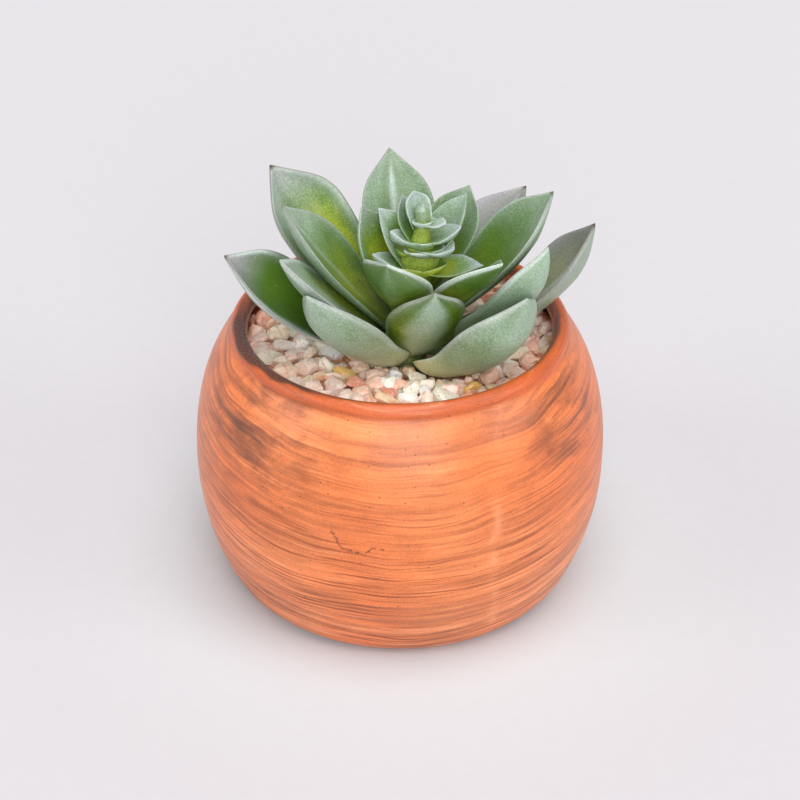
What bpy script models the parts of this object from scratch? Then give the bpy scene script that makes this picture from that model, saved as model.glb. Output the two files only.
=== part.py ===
# A potted succulent: a rosette of thick pointed leaves in a gravel-topped ball pot.
# Lengths are in metres unless a comment says mm, +Z is up, and the origin is the
# middle of the pot's flat base. -Y is the front, where the photograph looks from.
import math
import random

import bmesh
import bpy
import numpy as np
from mathutils import Vector
from mathutils.bvhtree import BVHTree

MM = 0.001

# Pot: a squat ball of terracotta, cut off flat below and open above
POT_RADIUS = 50 * MM
POT_HEIGHT = 69 * MM
BELLY_HEIGHT = 33 * MM  # height of the widest ring
UPPER_REACH, UPPER_POWER = 50.9 * MM, 2.28  # the curve above the belly
LOWER_REACH, LOWER_POWER = 56.8 * MM, 2.06  # the curve below it
POT_WALL = 4.2 * MM
POT_FLOOR = 5 * MM
LIP_START = 66.4 * MM  # where the wall turns into the rounded lip
BASE_ROUND = 4.5 * MM  # height of the rounded corner at the base
FLOOR_ROUND = 6 * MM  # the same corner inside
POT_STEPS = 48

# Fill: growing medium up to a level, and gravel on it that dips round the stem
GAP = 0.3 * MM  # kept between neighbours that touch
SOIL_TOP = 56 * MM
FILL_STEPS = 32
GRAVEL_RIM = 61.2 * MM  # the bed's height near the pot's wall
GRAVEL_DIP = 3.6 * MM  # how much lower it lies at the stem
DIP_RADIUS = 18 * MM
PEBBLE_SIZE = (4.2 * MM, 5.6 * MM)  # before the corners are pushed in; the real ones are 3 to 5 mm
PEBBLE_SINK = 1.4 * MM
PEBBLE_SPACING = 0.84  # the least distance between middles, as a share of the mean size
PEBBLE_TRIES = 3000

# Plant: the stem stands a little off the pot's axis and leans to the right
STEM_FOOT = Vector((2.3, -5.0, 62.0)) * MM  # the stem's middle at the foot of the leaves
STEM_LEAN = 0.082  # metres to the right for each metre up
STEM_BURIED = 14 * MM
# The stem's radius at heights above STEM_FOOT, both in mm
STEM_RADII = (
    (-14, 2.4), (-4, 3.4), (2, 3.6), (9, 3.4), (17, 3.0), (20, 3.3), (23, 4.4), (26, 4.8),
    (28.3, 4.2), (29.6, 2.6), (32, 2.0), (36, 1.3),
)

# Leaves. Each value is named: turn is the compass direction in degrees, 0 to the right
# and 270 to the front; rise is the slope in degrees at the foot and at the tip; seat is
# the height of the foot above STEM_FOOT in mm; length and width are in mm; roll turns
# the blade about its own length; cup is the depth of its channel over its half width;
# upper is the share of its thickness above its middle surface.
LARGE = dict(thick=2.9, upper=0.18, foot_radius=4.4, neck=0.26, widest=0.60, cup=0.35, roll=0, tip_power=2.0)
CROWN = dict(LARGE, foot_radius=0.3, thick=1.9, neck=0.85, widest=0.50, cup=0.30, tip_power=2.4)

OUTER_LEAVES = {
    "leaf_left_low": dict(LARGE, turn=187, rise=(33, 43), length=48.5, width=21.5,
        seat=-0.7, roll=-15, cup=0.3, widest=0.66),
    "leaf_left_front": dict(LARGE, turn=208, rise=(44, 48), length=41.5, width=18,
        seat=3.9, roll=-9, cup=0.2),
    "leaf_left": dict(LARGE, turn=178, rise=(52, 51), length=41, width=20,
        seat=6.7, roll=-2, cup=0.3, widest=0.56),
    "leaf_front_left": dict(LARGE, turn=229, rise=(33, 57), length=43, width=19, seat=0.5, roll=4, cup=0.5),
    "leaf_front": dict(LARGE, turn=284, rise=(50, 61), length=30.5, width=18.5,
        seat=3.3, roll=-1, cup=0.3, widest=0.56, neck=0.42),
    "leaf_front_right": dict(LARGE, turn=321, rise=(18, 71), length=42, width=24,
        seat=-1.3, roll=-9, cup=0.5, widest=0.66),
    "leaf_right_front": dict(LARGE, turn=348, rise=(14, 74), length=39, width=18,
        seat=6.3, roll=-19, cup=0.45, widest=0.64),
    "leaf_right_low": dict(LARGE, turn=10, rise=(12, 63), length=51, width=19,
        seat=0.7, roll=-8, cup=0.4, widest=0.7),
    "leaf_right": dict(LARGE, turn=11, rise=(42, 54), length=42.5, width=21, seat=8.1, roll=1),
    "leaf_back_right": dict(LARGE, turn=47, rise=(48, 23), length=45.5, width=19, seat=2.6, roll=-2),
    "leaf_back_right_low": dict(LARGE, turn=75, rise=(25, 43), length=35, width=19,
        seat=0.5, roll=5, widest=0.64),
    "leaf_back": dict(LARGE, turn=101, rise=(61, 52), length=42.5, width=18, seat=5.1, roll=8, widest=0.64),
    "leaf_back_left_low": dict(LARGE, turn=125, rise=(24, 40), length=33.5, width=19,
        seat=-1.4, roll=-2, widest=0.64),
    "leaf_back_left": dict(LARGE, turn=154, rise=(47, 54), length=50.5, width=23,
        seat=2.5, roll=-9, cup=0.4, widest=0.68),
}
MIDDLE_LEAVES = {
    "leaf_middle_front": dict(LARGE, turn=251, rise=(53, 57), length=25.5, width=17.5,
        seat=13, roll=-10, widest=0.68),
    "leaf_middle_right": dict(LARGE, turn=323, rise=(59, 35), length=30, width=15,
        seat=10.6, roll=-10, cup=0.3, widest=0.64),
    "leaf_middle_back_right": dict(LARGE, turn=45, rise=(61, 58), length=25.5, width=13.5,
        seat=16, roll=10, foot_radius=4.9, widest=0.64),
    "leaf_middle_back_left": dict(LARGE, turn=150, rise=(81, 56), length=26.5, width=14,
        seat=10.6, roll=-9, cup=0.18),
}
# The crown's leaves clasp the stem with wide feet, in tiers whose short front leaves close them to cups:
# a bowl of six, a collar, a saucer, and the bud with its hood and lip
CROWN_LEAVES = {
    "bowl_front": dict(CROWN, turn=277, rise=(0, 28), length=6.3, width=12.5, seat=23.9, thick=1.3, widest=0.4,
        tip_power=3.2),
    "collar_front": dict(CROWN, turn=291, rise=(0, 22), length=5.7, width=9.6, seat=28.6, thick=1.2, widest=0.4,
        tip_power=3.4, cup=0.2),
    "saucer_front": dict(CROWN, turn=267, rise=(2, 34), length=4.3, width=8.8, seat=30.2, thick=1.1, widest=0.4,
        tip_power=3.4, cup=0.2),
    "lip_front": dict(CROWN, turn=264, rise=(0, 26), length=2.5, width=4.6, seat=35.2, thick=1.0, cup=0.2,
        neck=1, tip_power=3.2),
    "bowl_right": dict(CROWN, turn=345, rise=(0, 21), length=15.6, width=10.5,
        seat=23.1, thick=1.2, tip_power=1.7),
    "bowl_left": dict(CROWN, turn=195, rise=(8, 42), length=11.8, width=8, seat=23.3, widest=0.4),
    "bowl_back_left": dict(CROWN, turn=143, rise=(58, 31), length=16, width=11,
        seat=23.8, roll=-10, widest=0.38, tip_power=1.8),
    "bowl_back_right": dict(CROWN, turn=32, rise=(40, 56), length=19, width=10.5, seat=24.9, tip_power=2.0),
    "bowl_back": dict(CROWN, turn=89, rise=(50, 70), length=14.5, width=8.5, seat=22.7),
    "collar_right": dict(CROWN, turn=334, rise=(4, 12), length=8.4, width=8.5,
        seat=28.8, tip_power=3.0, cup=0.2),
    "collar_left": dict(CROWN, turn=180, rise=(5, 10), length=6, width=8, seat=27.9, cup=0.2),
    "saucer_left": dict(CROWN, turn=188, rise=(12, 42), length=7.6, width=5.5, seat=29.8),
    "saucer_right": dict(CROWN, turn=356, rise=(12, 36), length=9.8, width=8, seat=30.2, thick=1.5, cup=0.2),
    "hood_left": dict(CROWN, turn=131, rise=(48, 72), length=12, width=7, seat=29.1, cup=0.35, neck=0.7),
    "hood_back": dict(CROWN, turn=125, rise=(58, 82), length=8.6, width=6.6,
        seat=33.5, cup=0.5, tip_power=3.6),
    "lip_right": dict(CROWN, turn=334, rise=(0, 26), length=5.8, width=4.8,
        seat=34.9, thick=1.2, cup=0.2, neck=1),
    "lip_left": dict(CROWN, turn=205, rise=(0, 20), length=2, width=4.2, seat=35.1, thick=1.2, cup=0.2),
    "bud": dict(CROWN, turn=270, rise=(87, 87), length=5.2, width=3.4,
        seat=34.6, thick=3.2, upper=0.5, cup=0, foot_radius=0, widest=0.55, tip_power=1.8),
}
LEAF_RINGS, LEAF_SIDES = 10, 10
CROWN_RINGS, CROWN_SIDES = 7, 8


def clear_scene():
    for obj in list(bpy.data.objects):
        bpy.data.objects.remove(obj)


def new_collection(name):
    collection = bpy.data.collections.new(name)
    bpy.context.scene.collection.children.link(collection)
    return collection


def material(name, colour, roughness, metallic=0.0):
    """A Principled BSDF of one colour, given in linear values."""
    made = bpy.data.materials.new(name)
    made.use_nodes = True
    shader = made.node_tree.nodes["Principled BSDF"]
    shader.inputs["Base Color"].default_value = (*colour, 1.0)
    shader.inputs["Roughness"].default_value = roughness
    shader.inputs["Metallic"].default_value = metallic
    return made


def add_object(name, mesh, collection, finish):
    obj = bpy.data.objects.new(name, mesh)
    collection.objects.link(obj)
    mesh.materials.clear()
    mesh.materials.append(finish)
    return obj


def smooth(obj, angle=40):
    obj.data.shade_smooth()
    obj.data.set_sharp_from_angle(angle=math.radians(angle))


# Pot


def outer_radius(height):
    """The pot's outside: two superellipses that meet at the belly."""
    if height > BELLY_HEIGHT:
        share, power = (height - BELLY_HEIGHT) / UPPER_REACH, UPPER_POWER
    else:
        share, power = (BELLY_HEIGHT - height) / LOWER_REACH, LOWER_POWER
    return POT_RADIUS * (1 - share**power) ** (1 / power)


def inner_radius(height):
    return outer_radius(min(height, LIP_START)) - POT_WALL


def corner(start, middle, end, points):
    """A quadratic curve through start and end that leaves each towards middle."""
    curve = []
    for t in np.linspace(0, 1, points):
        weights = ((1 - t) ** 2, 2 * t * (1 - t), t**2)
        curve.append(tuple(sum(w * p[i] for w, p in zip(weights, (start, middle, end))) for i in (0, 1)))
    return curve


def inner_corner(gap, floor):
    """The inside's corner, from the wall to the floor, pulled in by a gap."""
    top = floor + FLOOR_ROUND
    wall_foot = inner_radius(floor) - gap
    return corner((inner_radius(top) - gap, top), (wall_foot, floor), (wall_foot - FLOOR_ROUND, floor), 4)


def pot_profile():
    """The pot's half section, from the inner floor up the wall, over the lip and down the outside."""
    profile = [(0, POT_FLOOR)]
    profile += reversed(inner_corner(0, POT_FLOOR))
    profile += [(inner_radius(z), z) for z in np.linspace(POT_FLOOR + FLOOR_ROUND, LIP_START, 13)[1:]]
    middle = (inner_radius(LIP_START) + outer_radius(LIP_START)) / 2
    half = POT_WALL / 2
    for angle in np.linspace(math.pi, 0, 7)[1:-1]:
        height = LIP_START + (POT_HEIGHT - LIP_START) * math.sin(angle)
        profile.append((middle + half * math.cos(angle), height))
    profile += [(outer_radius(z), z) for z in LIP_START - (LIP_START - BASE_ROUND) * np.linspace(0, 1, 14)]
    base = outer_radius(0)
    profile += corner(profile[-1], (base, 0), (base - 0.7 * BASE_ROUND, 0), 4)[1:]
    profile.append((0, 0))
    return profile


def turned(name, profile, steps, collection, finish):
    """A profile of (radius, height) carried round the Z axis by a Screw modifier."""
    mesh = bpy.data.meshes.new(name)
    points = [(radius, 0, height) for radius, height in profile]
    mesh.from_pydata(points, [(i, i + 1) for i in range(len(points) - 1)], [])
    obj = add_object(name, mesh, collection, finish)
    screw = obj.modifiers.new("Turn", "SCREW")
    screw.steps = steps
    screw.render_steps = steps
    screw.use_merge_vertices = True
    screw.merge_threshold = 0.0001
    screw.use_smooth_shade = True
    return obj


# Leaves


def blade_outline(share, leaf):
    """Half width over the widest half width: a sine up from the neck, then a power curve to the tip."""
    swell = np.sin(math.pi / 2 * np.clip(share / leaf["widest"], 0, 1)) ** 1.15
    rise = leaf["neck"] + (1 - leaf["neck"]) * swell
    fall = np.clip((share - leaf["widest"]) / (1 - leaf["widest"]), 0, 1)
    return rise * (1 - fall ** leaf["tip_power"])


def leaf_rings(leaf, rings, sides):
    """Cross-sections along a leaf that points along +X, as an array of rings, sides and xyz.

    The middle line bends evenly from the first slope to the second. Each section is a flat
    lens, cupped by a parabola across its width and turned by roll about the middle line."""
    length, half_width = leaf["length"] * MM, leaf["width"] * MM / 2
    fine = np.linspace(0, 1, 201)
    slope = np.radians(leaf["rise"][0] + (leaf["rise"][1] - leaf["rise"][0]) * fine)
    along = np.concatenate([[0], np.cumsum(np.cos(slope[:-1]))]) / 200 * length
    up = np.concatenate([[0], np.cumsum(np.sin(slope[:-1]))]) / 200 * length
    share = np.linspace(0, 1, rings)
    along, up, slope = (np.interp(share, fine, values)[:, None] for values in (along, up, slope))

    width = half_width * blade_outline(share, leaf)[:, None]
    thick = leaf["thick"] * MM * np.minimum(1, 0.55 + 0.9 * share) * np.clip((1 - share) * 4, 0, 1) ** 0.6
    turn = np.linspace(0, 2 * math.pi, sides, endpoint=False)
    side = width * np.cos(turn)
    above = np.where(np.sin(turn) > 0, leaf["upper"], 1 - leaf["upper"]) * np.sin(turn) * thick[:, None]
    height = above + leaf["cup"] * width * (np.cos(turn) ** 2 - 0.35)

    roll = math.radians(leaf["roll"])
    rolled = side * math.cos(roll) - height * math.sin(roll)
    height = side * math.sin(roll) + height * math.cos(roll)
    forward = leaf["foot_radius"] * MM + along - height * np.sin(slope)
    return np.stack([forward, rolled, up + height * np.cos(slope)], axis=-1)


def loft(name, rings):
    """One closed mesh from cross-sections, with a middle point at the foot and one at the tip."""
    made = bmesh.new()
    rows = [[made.verts.new(point) for point in ring] for ring in rings[:-1]]
    foot = made.verts.new(rings[0].mean(axis=0))
    tip = made.verts.new(rings[-1].mean(axis=0))
    count = len(rows[0])
    for i in range(count):
        after = (i + 1) % count
        for low, high in zip(rows, rows[1:]):
            made.faces.new((low[i], high[i], high[after], low[after]))
        made.faces.new((foot, rows[0][i], rows[0][after]))
        made.faces.new((tip, rows[-1][after], rows[-1][i]))
    bmesh.ops.recalc_face_normals(made, faces=made.faces)
    mesh = bpy.data.meshes.new(name)
    made.to_mesh(mesh)
    made.free()
    return mesh


def add_leaf(name, leaf, rings, sides, collection, finish, rosette):
    """A leaf on the stem at its seat, turned to its compass direction."""
    obj = add_object(name, loft(name, leaf_rings(leaf, rings, sides)), collection, finish)
    seat = leaf["seat"] * MM
    obj.parent = rosette
    obj.location = (STEM_LEAN * seat, 0, seat)
    obj.rotation_euler = (0, 0, math.radians(leaf["turn"]))
    smooth(obj, 60)
    return obj


def curve_to_mesh(curve_object, name, collection, finish):
    """The evaluated curve as a mesh of its own, with its caps welded."""
    bpy.context.view_layer.update()
    graph = bpy.context.evaluated_depsgraph_get()
    mesh = bpy.data.meshes.new_from_object(curve_object.evaluated_get(graph))
    made = bmesh.new()
    made.from_mesh(mesh)
    bmesh.ops.remove_doubles(made, verts=made.verts, dist=0.01 * MM)
    bmesh.ops.recalc_face_normals(made, faces=made.faces)
    made.to_mesh(mesh)
    made.free()
    obj = add_object(name, mesh, collection, finish)
    obj.matrix_world = curve_object.matrix_world.copy()
    bpy.data.objects.remove(curve_object)
    return obj


def add_stem(collection, finish):
    """The stem, a tapering tube from its buried foot to the bud."""
    curve = bpy.data.curves.new("stem_curve", "CURVE")
    curve.dimensions = "3D"
    curve.bevel_depth = 1 * MM
    curve.bevel_resolution = 3
    curve.use_fill_caps = True
    spline = curve.splines.new("POLY")
    spline.points.add(len(STEM_RADII) - 1)
    for point, (height, radius) in zip(spline.points, STEM_RADII):
        place = STEM_FOOT + Vector((STEM_LEAN * height, 0, height)) * MM
        point.co = (*place, 1)
        point.radius = radius
    tube = bpy.data.objects.new("stem_curve", curve)
    collection.objects.link(tube)
    return curve_to_mesh(tube, "stem_crown", collection, finish)


def join(obj, pieces):
    """Unites an object with every object of a collection, applies that, and removes the pieces."""
    union = obj.modifiers.new("Join", "BOOLEAN")
    union.operation = "UNION"
    union.operand_type = "COLLECTION"
    union.collection = pieces
    union.solver = "MANIFOLD"
    bpy.context.view_layer.update()
    graph = bpy.context.evaluated_depsgraph_get()
    mesh = bpy.data.meshes.new_from_object(obj.evaluated_get(graph))
    finish = obj.data.materials[0]
    obj.modifiers.clear()
    obj.data = mesh
    mesh.materials.clear()
    mesh.materials.append(finish)
    for piece in list(pieces.objects):
        bpy.data.objects.remove(piece)
    bpy.data.collections.remove(pieces)
    return obj


def add_crown(collection, finish, rosette):
    """The stem with its small top leaves and the bud, which grow from it as one piece."""
    stem = add_stem(collection, finish)
    pieces = new_collection("crown_pieces")
    for name, leaf in CROWN_LEAVES.items():
        add_leaf(name, leaf, CROWN_RINGS, CROWN_SIDES, pieces, finish, rosette)
    join(stem, pieces)
    smooth(stem, 50)
    return stem


# Fill


def stem_place(height):
    """The stem's middle at a height above the pot's base."""
    return STEM_FOOT.x + STEM_LEAN * (height - STEM_FOOT.z), STEM_FOOT.y


def bed_height(x, y):
    """The gravel bed's surface: level at the wall, and a smooth dip round the stem."""
    near = math.dist((x, y), (STEM_FOOT.x, STEM_FOOT.y)) / DIP_RADIUS
    ease = min(1, near) ** 2 * (3 - 2 * min(1, near))
    return GRAVEL_RIM - GRAVEL_DIP * (1 - ease)


def ring_at(centre, radius, height):
    """Points of a level circle; height is one value or one a point."""
    angles = np.linspace(0, 2 * math.pi, FILL_STEPS, endpoint=False)
    level = np.zeros(FILL_STEPS) + height
    return np.column_stack([centre[0] + radius * np.cos(angles), centre[1] + radius * np.sin(angles), level])


def hole_rings(bottom, top, radius):
    """The wall of the hole for the stem, from its bottom to its top."""
    return [ring_at(stem_place(bottom), radius, bottom), ring_at(stem_place(top), radius, top)]


def skin(name, rings, capped, collection, finish):
    """A closed surface over rings: capped at both ends, or joined from the last ring to the first."""
    made = bmesh.new()
    rows = [[made.verts.new(point) for point in ring] for ring in rings]
    following = rows[1:] if capped else rows[1:] + rows[:1]
    for low, high in zip(rows, following):
        for i in range(FILL_STEPS):
            after = (i + 1) % FILL_STEPS
            made.faces.new((low[i], low[after], high[after], high[i]))
    if capped:
        made.faces.new(rows[0])
        made.faces.new(rows[-1])
    bmesh.ops.recalc_face_normals(made, faces=made.faces)
    mesh = bpy.data.meshes.new(name)
    made.to_mesh(mesh)
    made.free()
    return add_object(name, mesh, collection, finish)


def leaf_tree(leaves):
    """All leaves as one search tree in world space."""
    bpy.context.view_layer.update()
    points, faces = [], []
    for obj in leaves:
        start = len(points)
        points += [obj.matrix_world @ vertex.co for vertex in obj.data.vertices]
        faces += [[start + i for i in face.vertices] for face in obj.data.polygons]
    return BVHTree.FromPolygons(points, faces)


def pebble_mesh(name, size, draw):
    """A tumbled stone: an icosahedron with its corners pushed in or out."""
    made = bmesh.new()
    bmesh.ops.create_icosphere(made, subdivisions=1, radius=size / 2)
    for vertex in made.verts:
        vertex.co *= draw.uniform(0.86, 1.0)
    mesh = bpy.data.meshes.new(name)
    made.to_mesh(mesh)
    made.free()
    return mesh


def add_pebbles(collection, finish, tree, draw):
    """Stones strewn over the bed by seeded throws, each kept if it is clear of the plant and its neighbours."""
    placed = []
    for _ in range(PEBBLE_TRIES):
        angle, size = draw.uniform(0, 2 * math.pi), draw.uniform(*PEBBLE_SIZE)
        reach = inner_radius(GRAVEL_RIM + size / 2) - GAP - size / 2
        radius = reach * math.sqrt(draw.random())
        x, y = radius * math.cos(angle), radius * math.sin(angle)
        ground = bed_height(x, y) - PEBBLE_SINK
        stem_room = math.dist((x, y), stem_place(ground)) - STEM_RADII[2][1] * MM - GAP
        leaf_room = tree.find_nearest(Vector((x, y, ground + 0.42 * size)))[3] - GAP
        size = min(size, 2 * stem_room, 2 * leaf_room)
        if size < 0.75 * PEBBLE_SIZE[0]:
            continue
        centre = Vector((x, y, ground + 0.42 * size))
        if any(math.dist((x, y), (p.x, p.y)) < PEBBLE_SPACING * (size + s) / 2 for p, s in placed):
            continue
        placed.append((centre, size))
    for i, (centre, size) in enumerate(placed):
        obj = add_object(f"pebble_{i}", pebble_mesh(f"pebble_{i}", size, draw), collection, finish)
        obj.location = centre
        obj.rotation_euler = (draw.uniform(-0.4, 0.4), draw.uniform(-0.4, 0.4), draw.uniform(0, math.tau))
        obj.scale = (1, draw.uniform(0.75, 0.95), draw.uniform(0.7, 0.9))


def add_soil(collection, finish):
    """The growing medium, from the pot's floor up, with a blind hole for the foot of the stem."""
    floor = POT_FLOOR + GAP
    rings = hole_rings(STEM_FOOT.z - STEM_BURIED - GAP, SOIL_TOP, STEM_RADII[1][1] * MM + 2 * GAP)
    for height in np.linspace(SOIL_TOP, floor + FLOOR_ROUND, 8)[:-1]:
        rings.append(ring_at((0, 0), inner_radius(height) - GAP, height))
    rings += [ring_at((0, 0), radius, height) for radius, height in inner_corner(GAP, floor)]
    return skin("soil", rings, True, collection, finish)


def add_bed(collection, finish):
    """The gravel bed: a slab whose top dips round the stem, with a hole through it."""
    bottom = SOIL_TOP + GAP
    hole = STEM_RADII[2][1] * MM + GAP
    rings = hole_rings(bottom, bed_height(*stem_place(GRAVEL_RIM)), hole)
    inside, outside = rings[1], ring_at((0, 0), inner_radius(GRAVEL_RIM) - GAP, GRAVEL_RIM)
    for share in (0.12, 0.28, 0.5, 0.75, 1):
        ring = inside * (1 - share) + outside * share
        ring[:, 2] = [bed_height(x, y) for x, y, z in ring]
        rings.append(ring)
    rings.append(ring_at((0, 0), inner_radius(bottom) - GAP, bottom))
    return skin("gravel", rings, False, collection, finish)


def add_gravel(collection, finish, leaves):
    bed = add_bed(collection, finish)
    pieces = new_collection("gravel_pieces")
    add_pebbles(pieces, finish, leaf_tree(leaves), random.Random(11))
    join(bed, pieces)
    smooth(bed, 25)
    return bed


def main():
    clear_scene()
    parts = new_collection("potted_succulent")
    terracotta = material("terracotta", (0.62, 0.22, 0.08), 0.45)
    turned("pot", pot_profile(), POT_STEPS, parts, terracotta)
    add_soil(parts, material("growing_medium", (0.045, 0.028, 0.018), 0.95))

    rosette = bpy.data.objects.new("rosette", None)
    rosette.location = STEM_FOOT
    parts.objects.link(rosette)
    leaves = []
    for group, green in ((OUTER_LEAVES, (0.18, 0.28, 0.18)), (MIDDLE_LEAVES, (0.25, 0.35, 0.21))):
        for name, leaf in group.items():
            finish = material(name, green, 0.42)
            leaves.append(add_leaf(name, leaf, LEAF_RINGS, LEAF_SIDES, parts, finish, rosette))
    add_crown(parts, material("young_leaf", (0.24, 0.37, 0.18), 0.45), rosette)
    add_gravel(parts, material("gravel", (0.72, 0.5, 0.38), 0.5), leaves)


main()
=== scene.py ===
# A potted succulent: a rosette of thick pointed leaves in a gravel-topped ball of terracotta.
# Sizes in the dictionaries are in mm, meshes are in metres. Compass directions are in degrees:
# 0 is to the right, 90 to the back, 270 to the front.
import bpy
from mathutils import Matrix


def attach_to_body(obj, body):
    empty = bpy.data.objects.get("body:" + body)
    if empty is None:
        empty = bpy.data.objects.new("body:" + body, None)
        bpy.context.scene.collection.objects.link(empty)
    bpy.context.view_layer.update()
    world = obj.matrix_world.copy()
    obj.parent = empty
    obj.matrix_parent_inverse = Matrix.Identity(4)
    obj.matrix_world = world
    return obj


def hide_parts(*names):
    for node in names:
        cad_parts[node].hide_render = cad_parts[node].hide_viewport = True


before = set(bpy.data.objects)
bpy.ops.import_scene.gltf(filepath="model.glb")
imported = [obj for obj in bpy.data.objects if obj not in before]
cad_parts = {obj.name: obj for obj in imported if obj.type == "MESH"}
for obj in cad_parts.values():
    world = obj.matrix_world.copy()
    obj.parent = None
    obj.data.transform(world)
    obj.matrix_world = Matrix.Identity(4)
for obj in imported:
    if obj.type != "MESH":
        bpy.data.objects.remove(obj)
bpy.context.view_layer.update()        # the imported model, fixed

import functools
import itertools
import math

import bpy
import numpy as np
from mathutils import Vector
from mathutils.bvhtree import BVHTree

mm = 0.001
print("frame loaded with", len(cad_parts), "nodes")


def linear(hexCode):  # an sRGB hex colour in linear light, as the sockets want it
    parts = [int(hexCode[i:i + 2], 16) / 255 for i in (1, 3, 5)]
    return [p / 12.92 if p <= 0.04045 else ((p + 0.055) / 1.055) ** 2.4 for p in parts] + [1.0]


def ease(low, high, value):  # 0 at low, 1 at high, with a smooth start and stop
    share = np.clip((value - low) / (high - low), 0, 1)
    return share * share * (3 - 2 * share)


def bump(value, middle, spread):  # a bell round a middle value
    return np.exp(-((value - middle) / spread) ** 2)


# Smooth noise from 0 to 1: random values on a grid of cells, blended between the four corners
# of the cell that a point is in. wrap is the number of cells after which u repeats.
def softNoise(u, v, seed, wrap=64):
    table = np.random.default_rng(seed).random((wrap, 256))
    i, j = np.floor(u).astype(int), np.floor(v).astype(int)
    mixU, mixV = ease(0, 1, u - i), ease(0, 1, v - j)
    low = table[i % wrap, j % 256] * (1 - mixU) + table[(i + 1) % wrap, j % 256] * mixU
    high = table[i % wrap, (j + 1) % 256] * (1 - mixU) + table[(i + 1) % wrap, (j + 1) % 256] * mixU
    return low * (1 - mixV) + high * mixV


# A closed mesh from rings of points. Neighbouring rings are joined by quads. The first and the
# last ring are closed by their middle point, or joined to each other in a loop. The signed
# volume under the quads says whether the faces have to be turned outwards.
def surfaceOf(name, rows, loop=False):
    count, around = rows.shape[:2]
    index = np.arange(count * around).reshape(count, around)
    low, high = (index, np.roll(index, -1, 0)) if loop else (index[:-1], index[1:])
    faces = [np.stack([low, np.roll(low, -1, 1), np.roll(high, -1, 1), high], -1).reshape(-1, 4)]
    points = rows.reshape(-1, 3)
    if not loop:
        points = np.vstack([points, rows[0].mean(0), rows[-1].mean(0)])
        foot, tip = np.full(around, len(points) - 2), np.full(around, len(points) - 1)
        faces.append(np.stack([foot, np.roll(index[0], -1), index[0]], -1))
        faces.append(np.stack([tip, index[-1], np.roll(index[-1], -1)], -1))
    a, b, c, d = (points[faces[0][:, k]] for k in range(4))
    if (a * np.cross(b, c)).sum() + (a * np.cross(c, d)).sum() < 0:
        faces = [each[:, ::-1] for each in faces]
    mesh = bpy.data.meshes.new(name)
    mesh.from_pydata(points.tolist(), [], [face for each in faces for face in each.tolist()])
    return mesh


def attach(mesh, name, rings):  # four values a point, kept in the mesh for its material
    values = rings.reshape(-1, 4)
    if len(mesh.vertices) > len(values):
        values = np.vstack([values, rings[0].mean(0), rings[-1].mean(0)])
    layer = mesh.attributes.new(name, "FLOAT_COLOR", "POINT")
    layer.data.foreach_set("color", values.astype(np.float32).ravel())


def newObject(name, data):
    made = bpy.data.objects.new(name, data)
    bpy.context.scene.collection.objects.link(made)
    return made


def addPiece(name, mesh, finish, slot, *nodes):
    mesh.materials.append(finish)
    mesh.polygons.foreach_set("use_smooth", np.ones(len(mesh.polygons), bool))
    piece = newObject(name, mesh)
    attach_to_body(piece, "root")
    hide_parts(*nodes)


# Sets a node's sockets: by name from a dictionary, or those in use in their order. A value is a
# plain one, a hex colour, an output, or a node, which stands for its first output in use.
def setInputs(node, inputs):
    inUse = [socket for socket in node.inputs if socket.enabled]
    for key, value in inputs.items() if isinstance(inputs, dict) else enumerate(inputs):
        socket = node.inputs[key] if isinstance(key, str) else inUse[key]
        if isinstance(value, bpy.types.Node):
            value = next(output for output in value.outputs if output.enabled)
        elif isinstance(value, str):
            value = linear(value)
        if isinstance(value, bpy.types.NodeSocket):
            node.id_data.links.new(value, socket)
        else:
            socket.default_value = value


def addNode(tree, kind, inputs=(), **settings):  # settings are the node's own values
    node = tree.nodes.new("ShaderNode" + kind)
    for key, value in settings.items():
        setattr(node, key, value)
    setInputs(node, inputs)
    return node


# A new material, addNode for its tree, its shader, and its object's own coordinates.
def newMaterial(name):
    made = bpy.data.materials.new(name)
    made.use_nodes = True
    add = functools.partial(addNode, made.node_tree)
    return made, add, made.node_tree.nodes["Principled BSDF"], add("TexCoord").outputs["Object"]


# settings that many nodes share
smooth = dict(interpolation_type="SMOOTHSTEP")
rgba = dict(data_type="RGBA")
times, timesPlus = dict(operation="MULTIPLY"), dict(operation="MULTIPLY_ADD")
scaled = dict(operation="SCALE")

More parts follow.
